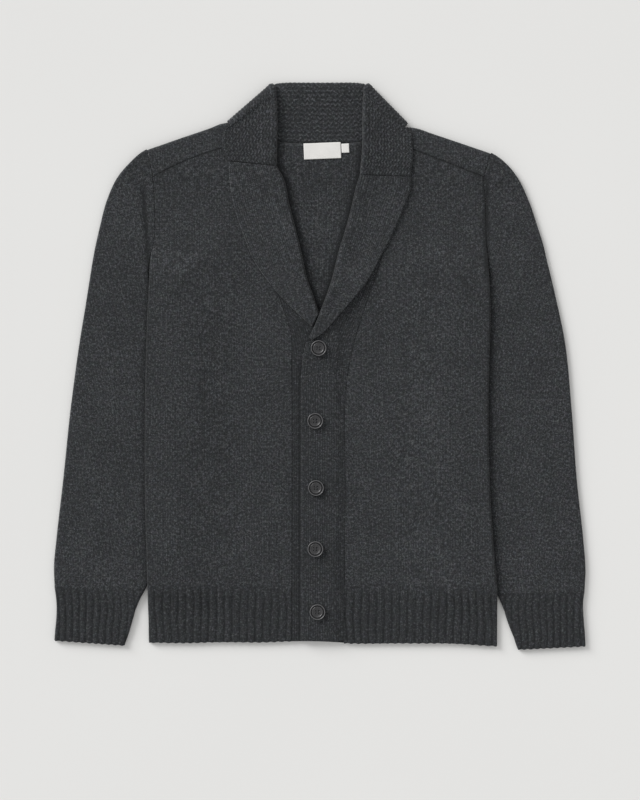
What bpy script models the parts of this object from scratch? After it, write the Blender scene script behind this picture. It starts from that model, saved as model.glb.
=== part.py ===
# A men's shawl collar cardigan in thick wool knit, laid flat and face up with its sleeves straight down.
# Run with: blender --background --python part.py
# Left and right are the wearer's: the wearer's left is at +X. The hem is at -Y and the collar at +Y.
# Each table gives distances from the centre line, so a side is turned to its own half by its sign.
import math

import bmesh
import bpy
import numpy as np

# Driving sizes in millimetres.
MM = 0.001
WALL = 2.6              # thickness of the knit
LAYER_GAP = 0.8         # air between layers that lie on each other
SEAM_GAP = 0.3          # between the edges that a seam joins
PITCH = WALL + LAYER_GAP
FOLD = PITCH / 2        # radius of a fold, at the middle of the knit
FOLD_REACH = FOLD + WALL / 2
EDGE_TURN = 0.91        # radians that a side edge turns towards the other layer

HEM_LOW = ((-235, -381.5), (-110, -380.6), (0, -379.8), (60, -382.6), (140, -381.6), (243, -385.6))
HEM_TOP = -301.0        # seam between the panels and the ribbed hem
UNDERARM = 150.0
NECK_RISE = (220.0, 296.0)      # the collar's fall lies below the back from here up
COLLAR_TOP = 390.3
BUTTON = {"diameter": 22.0, "height": 4.2, "rim": 2.6, "hole": 2.3, "spread": 5.4}
LABEL = {"width": 51.0, "height": 22.0, "thick": 0.8, "turn": 2.3, "centre": (3.2, 296.0)}
TAB = {"width": 10.5, "height": 12.5, "thick": 0.8, "turn": 2.3, "centre": (34.8, 299.6)}
SIDES = {"right": -1, "left": 1}

# Rows of the body, hem to neck, that the seams of neighbouring pieces share.
BODY_ROWS = (HEM_TOP + SEAM_GAP / 2, -250, -180, -90, 0, 43, 75, 97, 115, 150, 165, 190, 229)
HEM_ROWS = (-345, -306, HEM_TOP - SEAM_GAP / 2)
# The sleeve tucked below lifts the body's side by two layers: full and no lift, in from the edge.
SIDE_LIFT_IN = (42.0, 82.0)
SIDE_LIFT_TOP = (115.0, 150.0)
SIDE_LIFT_HEM = (-306.0, -345.0)

# Side seam up to the underarm, then armhole seam to the shoulder tip: y, distance.
SIDE_EDGE = {
    "right": ((-382, 235.5), (-301, 236.8), (-180, 240), (0, 239), (75, 236.5), (115, 234.3),
              (150, 232.6), (165, 229.5), (190, 227), (229, 228), (260, 230), (294.5, 236.6)),
    "left": ((-386, 243.2), (-301, 242.6), (-250, 238.4), (-180, 233.8), (-90, 231.3), (0, 232),
             (75, 233.8), (115, 232.4), (150, 230.3), (165, 229.4), (190, 228.9), (229, 228),
             (260, 226), (289.5, 234)),
}
# Seam between front panel and band, and above the lapel the neck seam: y, distance.
FRONT_SEAM = {
    "right": ((-380, 38.6), (0, 38.6), (43, 39.5), (75, 48.8), (97, 56.6), (150, 76), (190, 90.5),
              (229, 98.3), (255, 105), (277, 112), (290, 113.5), (304, 115)),
    "left": ((-380, 33), (-180, 35), (0, 40.3), (43, 50.2), (75, 60.3), (97, 67.5), (150, 84.7),
             (190, 95), (229, 102), (245, 104.5), (262, 107.5), (283, 112), (303, 113.5)),
}
# Upper rows of a front, each from the armhole to the neck seam: y at the armhole, y at the neck.
FRONT_UPPER_ROWS = {
    "right": ((238, 255), (246, 277), (253, 290), (260, 304)),
    "left": ((238, 245), (246, 262), (253, 283), (260, 303)),
}
SHOULDER_BOW = {"right": 5.0, "left": 0.0}      # rise of the shoulder seam above a straight line
# Fold over the shoulder, at its axis: tip, where the collar starts to cover it, and neck corner.
SHOULDER_FOLD = {
    "right": ((236.6, 294.5), (133.9, 329.4), (113.2, 331)),
    "left": ((234.0, 289.5), (133.5, 322.5), (113.0, 325)),
}
# Back neck seam from near the neck corner to the centre: distance, y.
BACK_NECK = {
    "right": ((100, 325.6), (82, 316.5), (58, 309.2), (30, 306.6)),
    "left": ((100, 321.6), (82, 315.5), (58, 309.2), (30, 306.6)),
}
BACK_NECK_CENTRE = 306.0
# Upper rows of the back: y at the armhole, at the neck corner and at the centre.
BACK_UPPER_ROWS = ((245, 250, 248), (260, 275, 267), (277, 303, 286))

# Sleeve rows, shoulder to cuff: y and distance at the outer fold, y and distance at the inner edge.
SLEEVE_ROWS = {
    "right": ((294, 242.8, 294, 236.6), (278, 263, 278, 233.5), (260, 278.5, 260, 230),
              (229, 293.4, 229, 228), (190, 303.8, 190, 227), (165, 309.5, 165, 229.5),
              (150, 312.4, 150, 232.6), (118, 317.6, 118, 235), (85, 322.8, 85, 218),
              (40, 330.2, 40, 204), (-60, 343.8, -60, 204), (-160, 354.3, -160, 208),
              (-240, 363.4, -240, 214), (-275, 366.6, -275, 225), (-303.6, 366, -305.6, 239.6)),
    "left": ((287.5, 242, 287.5, 233.5), (276, 258.3, 276, 230.5), (260, 271.5, 260, 226),
             (229, 287, 229, 228), (190, 300.4, 190, 228.9), (165, 308.2, 165, 229.4),
             (150, 311.6, 150, 230.3), (118, 319.4, 118, 233), (85, 327, 85, 214),
             (40, 336.4, 40, 200), (-60, 346.8, -60, 200), (-160, 354.2, -160, 205),
             (-240, 362.9, -240, 212), (-280, 365.9, -280, 225), (-310, 364.6, -312, 242.8)),
}
CUFF_ROWS = {
    "right": ((-304.3, 365.8, -306.3, 240.2), (-323.5, 363.4, -324.5, 250.2), (-346, 363, -348, 258.2),
              (-367, 364.9, -370, 264.6), (-378.6, 365.7, -385.2, 269.5)),
    "left": ((-310.6, 364.5, -312.6, 243.1), (-323, 362.8, -324, 249), (-350, 363.1, -352, 259),
             (-372, 364.9, -375, 267.5), (-386.4, 365.7, -390.9, 273.6)),
}
# Free edge of each band, and above the buttons where it passes beneath the rolled lapel: y, distance.
BAND_EDGE = {
    "right": ((-378.4, -17), (20, -17), (50, -11), (66, 4.5), (72, 9.5), (97, 15.5), (119, 23.5),
              (155.5, 31.5), (188, 39.6), (224, 48.7), (256.7, 56), (277, 66)),
    "left": ((-378.2, -26.5), (-16, -26.4), (14, -23.4), (34, -19), (36, -7), (51, -2.4),
             (73.6, 6.6), (97, 16), (119, 23.6), (159.5, 33), (186, 40.8), (216, 48.9),
             (250, 57), (264, 61.2)),
}
BAND_TOP_ROWS = {"right": (190, 229, 255, 276.8), "left": (190, 229, 245, 261.8)}
BAND_TOP_DROP = {"right": 2.0, "left": 0.0}     # of the inner corner of a band's top end
BAND_LOW_ROWS = (-378.3, -309, -180, -90, -16, 0, 14, 34, 36, 43, 51, 60, 66, 75, 85, 97, 119, 150)
OVERLAP = {"flat": 20.0, "seam": 31.0, "full": 85.0, "end": 125.0}   # where the top band lies higher
# Lapel rows, front to shoulder: distance and y of the roll, distance and y of the outer edge.
LAPEL_ROWS = {
    "right": ((1.4, 72.4, 10.9, 53.8), (8.6, 95, 40, 81), (17.3, 119, 62, 105),
              (25.3, 155.5, 90, 143), (33.4, 188, 105.5, 180), (42.5, 224, 117, 215),
              (49.7, 256.7, 124, 250), (59.6, 274.5, 125.6, 281)),
    "left": ((-15.5, 39.5, -10.6, 35.4), (-9.5, 51, 3, 44.6), (-0.2, 73.6, 26, 69.6),
             (8.1, 95, 45, 91.5), (16.1, 119, 64, 115), (26.2, 159.5, 87, 157),
             (34.4, 186, 101, 184), (42.5, 216, 114, 214), (50.6, 250, 125, 248),
             (54.6, 262.2, 124.6, 260)),
}
LAPEL_TURN_END = 1.0    # flat stretch of a lapel beneath its roll, up to the band
LAPEL_RAISE = {"right": (0.0, 0.0), "left": (110.0, 150.0)}   # the top band's lapel starts a layer up
# Collar sections, lapel seam to the fold at the shoulder: neck seam, roll and outer edge.
COLLAR_FRONT = {
    "right": (((111.7, 277.4), (62.6, 275.4), (126.2, 281.9)), ((113.1, 290), (61.8, 305), (132, 293)),
              ((114.5, 304), (61.4, 340), (134.2, 305)), ((112.6, 325), (62.4, 368), (132, 322))),
    "left": (((107.1, 262.4), (57.6, 262.6), (124.8, 260.6)), ((111.6, 283), (60.6, 296), (127.6, 287)),
             ((113.1, 303), (61, 340), (126.2, 306)), ((111.4, 323), (61.8, 368), (124.6, 321))),
}
# Collar sections below the back, from the fold to the centre.
COLLAR_BACK = {
    "right": (((100, 330.1), (62.4, 385.6), (112, 321)), ((82, 318.5), (57, 386.6), (92, 311)),
              ((58, 310.1), (45, 387.4), (66, 303)), ((30, 307.1), (25, 387.4), (35, 299))),
    "left": (((100, 326.1), (62.2, 385.6), (109, 320)), ((82, 317), (57, 386.6), (92, 311)),
             ((58, 309.7), (45, 387.4), (66, 303)), ((30, 307.1), (25, 387.4), (35, 299))),
}
COLLAR_CENTRE = ((0, 306.4), (0, COLLAR_TOP - FOLD_REACH), (0, 298))
COLLAR_CORNER = {"right": ((66.2, 390.3), (128.5, 336.3)), "left": ((66.2, 390.3), (121.4, 334))}
STAND_LENGTH = {"right": 65.5, "left": 70.0}     # along the fold at the shoulder
BUTTON_PLACES = ((-1.9, 24.3), (-6.6, -75.6), (-5.5, -167.7), (-6.3, -251.6), (-3.5, -338.1))


def ramp(value, start, end):
    return np.clip((value - start) / (end - start), 0, 1)


def ease(value, start, end):
    t = ramp(value, start, end)
    return t * t * (3 - 2 * t)


def along(table, value):
    """Second column of a table at a value of its first."""
    rows = np.array(sorted(table))
    return float(np.interp(value, rows[:, 0], rows[:, 1]))


def level(layer, lift=0.0):
    """Height of the middle of a layer of cloth, the floor's layer being 0."""
    return WALL / 2 + PITCH * (layer + lift)


def neck_lift(y):
    return ease(y, *NECK_RISE)


def body_lift(side, distance, y):
    depth = along(SIDE_EDGE[side], y) - distance
    rise = ramp(depth, SIDE_LIFT_IN[1], SIDE_LIFT_IN[0]) * ramp(y, *SIDE_LIFT_TOP[::-1])
    return 2 * rise * ramp(y, *SIDE_LIFT_HEM[::-1]) + neck_lift(y)


def edge_curl(y):
    """How far a side edge turns down towards the other layer: fully below the underarm."""
    return ramp(y, UNDERARM + 20, UNDERARM - 12)


def seam_ease(y):
    """A seam opens a little just above the underarm, where the edges start to turn."""
    return ramp(y, UNDERARM + 22, UNDERARM)


def bent_edge(end, outward, height, down, curl, seam_room):
    """Points, (distance, height), of a cloth edge that ends at a seam and turns by its curl."""
    turn = EDGE_TURN
    length = FOLD * turn
    t = np.array((0.0, 0.45, 0.8, 1.0))
    tip = end - outward * (SEAM_GAP / 2 + WALL / 2 * max(curl, seam_room))
    if curl < 0.01:
        return np.stack([tip - outward * length * (1 - t), np.full(len(t), height)], 1)
    angle = turn * curl
    radius = length / angle
    x = tip - outward * radius * (math.sin(angle) - np.sin(angle * t))
    return np.stack([x, height + down * radius * (1 - np.cos(angle * t))], 1)


def material(name, colour, roughness):
    made = bpy.data.materials.new(name)
    made.use_nodes = True
    shader = made.node_tree.nodes["Principled BSDF"]
    shader.inputs["Base Color"].default_value = (*colour, 1)
    shader.inputs["Roughness"].default_value = roughness
    shader.inputs["Metallic"].default_value = 0
    return made


def place(name, mesh, finish):
    mesh.materials.append(finish)
    piece = bpy.data.objects.new(name, mesh)
    garment.objects.link(piece)
    return piece


def cloth(name, grids, finish, thickness=WALL):
    """A wall about the surface through one or more grids of points, which join where they meet."""
    bm = bmesh.new()
    for grid in grids:
        grid = np.asarray(grid, float)
        corners = [[bm.verts.new(point * MM) for point in row] for row in grid]
        for j in range(len(grid) - 1):
            for i in range(len(grid[0]) - 1):
                a, b = corners[j][i], corners[j][i + 1]
                d, c = corners[j + 1][i], corners[j + 1][i + 1]
                if grid[j, i, 0] + grid[j + 1, i + 1, 0] < 0:
                    bm.faces.new((a, b, c))
                    bm.faces.new((a, c, d))
                else:
                    bm.faces.new((a, b, d))
                    bm.faces.new((b, c, d))
    bmesh.ops.remove_doubles(bm, verts=bm.verts, dist=1e-6)
    bmesh.ops.recalc_face_normals(bm, faces=bm.faces)
    mesh = bpy.data.meshes.new(name)
    bm.to_mesh(mesh)
    bm.free()
    mesh.shade_smooth()
    piece = place(name, mesh, finish)
    wall = piece.modifiers.new("Wall", "SOLIDIFY")
    wall.thickness = thickness * MM
    wall.offset = 0
    wall.use_quality_normals = True
    return piece


def mirrored(side, points):
    """Points measured from the centre line, turned to their own side and ordered towards +X."""
    points = np.array(points, float)
    points[..., 0] *= SIDES[side]
    return points if side == "right" else points[..., ::-1, :]


def side_columns(side, y, layer):
    """Edge of a body layer from its bent side edge inwards: (distance, height) rows."""
    edge = along(SIDE_EDGE[side], y)
    height = level(layer, body_lift(side, edge, y))
    bend = bent_edge(edge, 1, height, 1 - 2 * layer, edge_curl(y), seam_ease(y))[::-1]
    inner = [edge - 8, edge - SIDE_LIFT_IN[0], edge - SIDE_LIFT_IN[1]]
    flat = [(x, level(layer, body_lift(side, x, y))) for x in inner]
    return [tuple(point) for point in bend] + flat


def front_row(side, y_side, y_neck, bow=0.0):
    """One row of a front, from the side or armhole to the band or neck seam."""
    seam = along(FRONT_SEAM[side], y_neck) + SEAM_GAP / 2
    columns = side_columns(side, y_side, 1)
    last = columns[-1][0]
    columns += [((last + seam) / 2, None), (seam, None)]
    outer = columns[0][0]
    row = []
    for x, z in columns:
        t = (outer - x) / (outer - seam)
        y = y_side + (y_neck - y_side) * t + 4 * bow * t * (1 - t)
        if z is None or y_side != y_neck:
            z = level(1, neck_lift(y))
        row.append((x, y, z))
    return row


def front_panel(side, finish):
    rows = [front_row(side, y, y) for y in BODY_ROWS]
    upper = FRONT_UPPER_ROWS[side]
    for number, (y_side, y_neck) in enumerate(upper, 1):
        bow = SHOULDER_BOW[side] * number / len(upper)
        rows.append(front_row(side, y_side, y_neck, bow))
    cloth(f"front_{side}", [mirrored(side, rows)], finish)


def back_half(side, y_side, y_neck, y_centre):
    """One half row of the back, from the side to just short of the centre."""
    neck_x = SHOULDER_FOLD[side][-1][0]
    columns = side_columns(side, y_side, 0)
    columns.append(((columns[-1][0] + neck_x) / 2, None))
    columns.append((neck_x, None))
    columns += [(x, None) for x, _ in BACK_NECK[side]]
    outer = columns[0][0]
    row = []
    for x, z in columns:
        if x >= neck_x:
            y = y_side + (y_neck - y_side) * (outer - x) / (outer - neck_x)
        else:
            y = y_centre + (y_neck - y_centre) * x / neck_x
        row.append((x, y, level(0, neck_lift(y)) if z is None or y_side > UNDERARM else z))
    return row


def shoulder_columns(side):
    """Distances of the columns that cross the shoulder, armhole to neck."""
    tip_y = SHOULDER_FOLD[side][0][1]
    neck_x = SHOULDER_FOLD[side][-1][0]
    columns = [x for x, _ in side_columns(side, tip_y, 0)]
    return np.array(columns + [(columns[-1] + neck_x) / 2, neck_x])


def shoulder_axis(side):
    x = shoulder_columns(side)
    return x, [along(SHOULDER_FOLD[side], a) for a in x]


def back_top_half(side):
    x, y = shoulder_axis(side)
    row = [(a, b, level(0, neck_lift(b))) for a, b in zip(x, y)]
    return row + [(a, b, level(0, neck_lift(b))) for a, b in BACK_NECK[side]]


def shoulder_wrap(side):
    """The back's top, carried over the fold and down the front to the forward shoulder seam."""
    (tip_x, tip_y), (neck_x, neck_y) = SHOULDER_FOLD[side][:2]
    x, y = shoulder_axis(side)
    length = math.hypot(tip_x - neck_x, neck_y - tip_y)
    out_x, out_y = (neck_y - tip_y) / length, (tip_x - neck_x) / length
    rows = [[(a, b, level(0, neck_lift(b))) for a, b in zip(x, y)]]
    for angle in np.radians((45, 90, 135, 180)):
        reach = FOLD * math.sin(angle)
        height = level(0.5, 1) - FOLD * math.cos(angle)
        rows.append([(a + reach * out_x, b + reach * out_y, height) for a, b in zip(x, y)])
    y_side, y_neck = FRONT_UPPER_ROWS[side][-1]
    seam = np.array(front_row(side, y_side, y_neck, SHOULDER_BOW[side]))
    seam[:, 1] += SEAM_GAP
    top = np.array(rows[-1])
    for t in (0.4, 0.75, 1.0):
        row = top + (seam - top) * t
        row[:, 2] = [level(1, neck_lift(b)) for b in row[:, 1]]
        rows.append([tuple(point) for point in row])
    return rows


def whole_row(make, centre):
    """A row from the right side edge over the centre to the left side edge."""
    right = [(-x, y, z) for x, y, z in make("right")]
    return right + [centre] + make("left")[::-1]


def back_panel(finish):
    rows = []
    for y in BODY_ROWS:
        centre = (0, y, level(0, neck_lift(y)))
        rows.append(whole_row(lambda side: back_half(side, y, y, y), centre))
    for y_side, y_neck, y_centre in BACK_UPPER_ROWS:
        centre = (0, y_centre, level(0, neck_lift(y_centre)))
        rows.append(whole_row(lambda side: back_half(side, y_side, y_neck, y_centre), centre))
    rows.append(whole_row(back_top_half, (0, BACK_NECK_CENTRE, level(0, 1))))
    wraps = [mirrored(side, shoulder_wrap(side)) for side in SIDES]
    cloth("back_panel", [np.array(rows), *wraps], finish)


def hem_ribs(finish):
    """The hem's lower edge is level but for a slight drop towards the left side."""
    low = along(HEM_LOW, 0)
    rows = [whole_row(lambda side: back_half(side, y, y, y), (0, y, level(0)))
            for y in (low, *HEM_ROWS)]
    back = np.array(rows)
    back[0, :, 1] = [along(HEM_LOW, x) for x in back[0, :, 0]]
    cloth("back_hem_rib", [back], finish)
    for side in SIDES:
        front = mirrored(side, [front_row(side, y, y) for y in (low, *HEM_ROWS)])
        front[0, :, 1] = [along(HEM_LOW, x) for x in front[0, :, 0]]
        cloth(f"hem_rib_{side}", [front], finish)


def tube_row(y_outer, outer, y_inner, inner):
    """A flattened sleeve's section: inner edge, front, outer fold, back, inner edge again."""
    curl, room = edge_curl(y_inner), seam_ease(y_inner)
    lift_inner, lift_outer = neck_lift(y_inner), neck_lift(y_outer)
    axis = outer - FOLD_REACH
    section = []
    for layer in (1, 0):
        bend = bent_edge(inner, -1, level(layer, lift_inner), 1 - 2 * layer, curl, room)[::-1]
        start = bend[-1][0]
        flat = [(start + (axis - start) * t, level(layer, lift_inner + (lift_outer - lift_inner) * t))
                for t in (1 / 3, 2 / 3)]
        section.append([tuple(point) for point in bend] + flat)
    fold = [(axis + FOLD * math.sin(angle), level(0.5, lift_outer) + FOLD * math.cos(angle))
            for angle in np.radians((0, 36, 72, 108, 144, 180))]
    points = section[0] + fold + section[1][::-1]
    return [(x, y_inner + (y_outer - y_inner) * (x - inner) / (outer - inner), z) for x, z in points]


def sleeves(knit, rib):
    for side, sign in SIDES.items():
        for name, table, finish in (("sleeve", SLEEVE_ROWS, knit), ("cuff", CUFF_ROWS, rib)):
            rows = np.array([tube_row(*row) for row in table[side]])
            rows[..., 0] *= sign
            cloth(f"{name}_{side}", [rows], finish)


def band_lift(side, x, y):
    """The top band lies a layer higher where it covers the band below."""
    if side == "right":
        return neck_lift(y)
    over = ramp(x, OVERLAP["seam"], OVERLAP["flat"]) * ramp(y, OVERLAP["end"], OVERLAP["full"])
    return over + neck_lift(y)


def bands(finish):
    for side in SIDES:
        rows = []
        top = BAND_TOP_ROWS[side][-1]
        for y in (*BAND_LOW_ROWS, *BAND_TOP_ROWS[side]):
            edge = along(BAND_EDGE[side], y)
            seam = along(FRONT_SEAM[side], y) - SEAM_GAP / 2
            if y <= OVERLAP["full"]:
                half = (edge + OVERLAP["flat"]) / 2
                columns = (seam, OVERLAP["seam"], OVERLAP["flat"], half, edge)
            else:
                columns = np.linspace(seam, edge, 5)
            drop = BAND_TOP_DROP[side] if y == top else 0.0
            row = []
            for x in columns:
                down = y - drop * (seam - x) / (seam - edge)
                row.append((x, down, level(1, band_lift(side, x, down))))
            rows.append(row)
        cloth(f"band_{side}", [mirrored(side, rows)], finish)


def lapels(finish):
    """Each lapel starts beneath its roll, next to the band, turns over and lies on the band."""
    for side, sign in SIDES.items():
        rows = []
        for roll_x, roll_y, out_x, out_y in LAPEL_ROWS[side]:
            start, end = LAPEL_RAISE[side]
            raise_up = float(ramp(roll_y, end, start)) if end > start else 0.0
            under = level(1, band_lift(side, roll_x + FOLD_REACH, roll_y))
            top = level(2, raise_up + neck_lift(roll_y))
            radius = (top - under) / 2
            across = np.array((out_x - roll_x, out_y - roll_y))
            length = np.linalg.norm(across)
            across = across / length
            axis = radius + WALL / 2
            section = [(axis + LAPEL_TURN_END, under)]
            for angle in np.radians((0, 45, 90, 135, 180)):
                section.append((axis - radius * math.sin(angle), (under + top) / 2 - radius * math.cos(angle)))
            section += [(axis + (length - axis) * t, top) for t in (0.33, 0.67, 1)]
            rows.append([(roll_x + across[0] * s, roll_y + across[1] * s, z) for s, z in section])
        points = np.array(rows)
        points[..., 0] *= sign
        cloth(f"lapel_{side}", [points], finish)


def hairpin(neck, roll, outer, turn, lift, push=(0.0, 0.0)):
    """A collar section: stand from neck to roll, round, and fall to the outer edge.

    turn is the way the section faces, from -1 below the back through 0 at the shoulder's fold to 1
    on the front. push is the direction that the fold faces, flat on the floor.
    """
    neck, roll, outer, push = (np.array(v, float) for v in (neck, roll, outer, push))
    facing = np.append(push * math.cos(turn * math.pi / 2), math.sin(turn * math.pi / 2))
    middle = np.array((0, 0, level(0.5, lift)))
    stand, fall = FOLD, FOLD + PITCH
    points = []
    for t in (0, 0.5, 1):
        points.append(np.append(neck + (roll - neck) * t, 0) + middle + stand * facing)
    way = (roll - neck) / np.linalg.norm(roll - neck) + (roll - outer) / np.linalg.norm(roll - outer)
    way = np.append(way / np.linalg.norm(way), 0)
    for angle in np.radians((45, 90, 135)):
        offset = (stand + fall) / 2 - FOLD * math.cos(angle)
        points.append(np.append(roll, 0) + middle + offset * facing + FOLD * math.sin(angle) * way)
    for t in (0, 0.33, 0.67, 1):
        points.append(np.append(roll + (outer - roll) * t, 0) + middle + fall * facing)
    return points


def collar_side(side):
    """Sections from the lapel seam over the shoulder to beneath the back."""
    sections = []
    for neck, roll, outer in COLLAR_FRONT[side]:
        section = hairpin(neck, roll, outer, 1, 1)
        for point in section:
            point[2] += PITCH * (neck_lift(point[1]) - 1)
        sections.append(section)
    top, low = (np.array(point) for point in COLLAR_CORNER[side])
    way = (low - top) / np.linalg.norm(low - top)
    push = np.array((-way[1], way[0]))
    reach = FOLD + PITCH + WALL / 2
    start = top - reach * push
    end = low - reach * push
    neck = start + STAND_LENGTH[side] * way
    for turn in np.linspace(1, -1, 7):
        sections.append(hairpin(neck, start + FOLD_REACH * way, end, turn, 1, push))
    for neck, roll, outer in COLLAR_BACK[side]:
        sections.append(hairpin(neck, roll, outer, -1, 1))
    points = np.array(sections)
    points[..., 0] *= SIDES[side]
    return points


def collar(finish):
    centre = np.array([hairpin(*COLLAR_CENTRE, -1, 1)])
    rows = np.concatenate([collar_side("right"), centre, collar_side("left")[::-1]])
    cloth("collar", [rows], finish)


def turned(size, place_at, across, down):
    """Grid of a small flat piece, turned a little, that follows the back's inner face."""
    turn = math.radians(size["turn"])
    u = np.linspace(-0.5, 0.5, across + 1) * size["width"]
    v = np.linspace(-0.5, 0.5, down + 1) * size["height"]
    u, v = np.meshgrid(u, v)
    x = place_at[0] + u * math.cos(turn) - v * math.sin(turn)
    y = place_at[1] + u * math.sin(turn) + v * math.cos(turn)
    clear = WALL / 2 + size["thick"] / 2 + 0.5
    return np.stack([x, y, level(0, neck_lift(y)) + clear], -1)


def labels(finish):
    for name, size, across in (("neck_label", LABEL, 3), ("size_tab", TAB, 1)):
        cloth(name, [turned(size, size["centre"], across, 3)], finish, size["thick"])


def turned_profile(name, profile, finish):
    """A solid of revolution: the profile, (radius, height) in millimetres, runs top to bottom."""
    mesh = bpy.data.meshes.new(name)
    points = [(r * MM, 0, z * MM) for r, z in profile]
    mesh.from_pydata(points, [(i, i + 1) for i in range(len(points) - 1)], [])
    piece = place(name, mesh, finish)
    turn = piece.modifiers.new("Turn", "SCREW")
    turn.steps = turn.render_steps = 24
    turn.use_merge_vertices = True
    turn.merge_threshold = 1e-5
    turn.use_smooth_shade = True
    return piece


def buttons(finish):
    r, h, rim = BUTTON["diameter"] / 2, BUTTON["height"], BUTTON["rim"]
    profile = ((0, h * 0.62), (r - rim, h * 0.62), (r - rim * 0.8, h), (r - 0.9, h), (r, h * 0.7),
               (r, h * 0.3), (r - 1.2, 0), (0, 0))
    seat = level(2) + WALL / 2 + SEAM_GAP
    for number, (x, y) in enumerate(BUTTON_PLACES, 1):
        piece = turned_profile(f"button_{number}", profile, finish)
        piece.location = (x * MM, y * MM, seat * MM)
        for corner in range(4):
            angle = math.radians(45 + 90 * corner)
            hole = bmesh.new()
            bmesh.ops.create_cone(hole, cap_ends=True, segments=8, radius1=BUTTON["hole"] / 2 * MM,
                                  radius2=BUTTON["hole"] / 2 * MM, depth=3 * h * MM)
            mesh = bpy.data.meshes.new(f"cutter_{number}_{corner}")
            hole.to_mesh(mesh)
            hole.free()
            cutter = bpy.data.objects.new(mesh.name, mesh)
            cutters.objects.link(cutter)
            cutter.hide_render = True
            cutter.display_type = "WIRE"
            spread = BUTTON["spread"] / 2 * math.sqrt(2)
            cutter.location = ((x + spread * math.cos(angle)) * MM,
                               (y + spread * math.sin(angle)) * MM, seat * MM)
            cut = piece.modifiers.new(f"Hole {corner}", "BOOLEAN")
            cut.operation = "DIFFERENCE"
            cut.solver = "EXACT"
            cut.object = cutter


for thing in list(bpy.data.objects):
    bpy.data.objects.remove(thing, do_unlink=True)
garment = bpy.data.collections.new("Shawl collar cardigan")
cutters = bpy.data.collections.new("Cutters")
bpy.context.scene.collection.children.link(garment)
bpy.context.scene.collection.children.link(cutters)
knit = material("charcoal knit", (0.037, 0.039, 0.042), 0.95)
rib = material("charcoal rib", (0.034, 0.036, 0.039), 0.95)
button_finish = material("charcoal button", (0.03, 0.031, 0.033), 0.45)
label_finish = material("white woven label", (0.8, 0.79, 0.76), 0.8)
back_panel(knit)
for side_name in SIDES:
    front_panel(side_name, knit)
hem_ribs(rib)
sleeves(knit, rib)
bands(rib)
lapels(knit)
collar(rib)
labels(label_finish)
buttons(button_finish)
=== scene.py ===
import math

import bpy
import numpy as np
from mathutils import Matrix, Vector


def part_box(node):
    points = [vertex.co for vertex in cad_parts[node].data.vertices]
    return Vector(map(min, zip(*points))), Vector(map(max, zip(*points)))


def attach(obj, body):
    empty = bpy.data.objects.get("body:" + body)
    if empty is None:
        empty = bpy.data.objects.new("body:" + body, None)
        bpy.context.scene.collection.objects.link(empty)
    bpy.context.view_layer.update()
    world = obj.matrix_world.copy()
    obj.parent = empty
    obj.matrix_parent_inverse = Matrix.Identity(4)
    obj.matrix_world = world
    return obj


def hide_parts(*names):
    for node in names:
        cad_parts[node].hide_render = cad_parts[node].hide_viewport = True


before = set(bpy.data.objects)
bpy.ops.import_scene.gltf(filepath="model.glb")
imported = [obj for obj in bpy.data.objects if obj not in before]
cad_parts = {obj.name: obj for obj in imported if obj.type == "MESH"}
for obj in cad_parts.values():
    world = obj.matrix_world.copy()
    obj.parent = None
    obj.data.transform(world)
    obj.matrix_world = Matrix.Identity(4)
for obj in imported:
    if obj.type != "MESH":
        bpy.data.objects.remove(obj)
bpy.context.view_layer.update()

# A shawl collar cardigan in thick charcoal wool, laid flat and face up.
# Lengths are in millimetres until a mesh is made. Left and right are the wearer's, left at +X.
mm = 0.001
cloth = {"wall": 2.6, "air": 0.8, "seamGap": 0.3}
pitch = cloth["wall"] + cloth["air"]
halfWall = cloth["wall"] / 2
foldRadius = pitch / 2
foldReach = foldRadius + halfWall
gapHalf = cloth["seamGap"] / 2
joinGap = 0.02      # where the ribs grow out of the plain knit
sides = {"right": -1, "left": 1}
facingUp = (0, 0, 1)

# Width of each kind of rib, and how far they stand out and lengthen the edge.
ribs = {"hem": 10.5, "cuff": 9.4, "band": 3.15, "rise": 1.5, "fineRise": 0.24, "scallop": 0.55}
zigzag = {"row": 5.0, "wide": 7.6, "swing": 0.55, "rise": 0.32}


class Sock:
    """A node's socket, whose operators and methods add Math nodes."""
    def __init__(self, tree, socket):
        self.tree, self.socket = tree, socket

    def math(self, operation, *others):
        node = self.tree.nodes.new("ShaderNodeMath")
        node.operation = operation
        for place, value in enumerate((self, *others)):
            if isinstance(value, Sock):
                self.tree.links.new(value.socket, node.inputs[place])
            else:
                node.inputs[place].default_value = value
        return Sock(self.tree, node.outputs[0])

    def __add__(self, other):
        return self.math("ADD", other)

    def __mul__(self, other):
        return self.math("MULTIPLY", other)

    def __sub__(self, other):
        return self.math("SUBTRACT", other)

    def __rsub__(self, other):
        return self * -1 + other

    def __truediv__(self, other):
        return self.math("DIVIDE", other)

    __radd__, __rmul__ = __add__, __mul__

    def abs(self):
        return self.math("ABSOLUTE")

    def frac(self):
        return self.math("FRACT")

    def power(self, other):
        return self.math("POWER", other)

    def clamp(self):
        return self.math("MAXIMUM", 0.0).math("MINIMUM", 1.0)

    def ridge(self):
        """|cos| with one ridge a unit."""
        return (self * math.pi).math("COSINE").abs()

    def swell(self):
        """A cosine with one wave a unit, from 0 to 1."""
        return (self * (2 * math.pi)).math("COSINE") * 0.5 + 0.5


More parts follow.
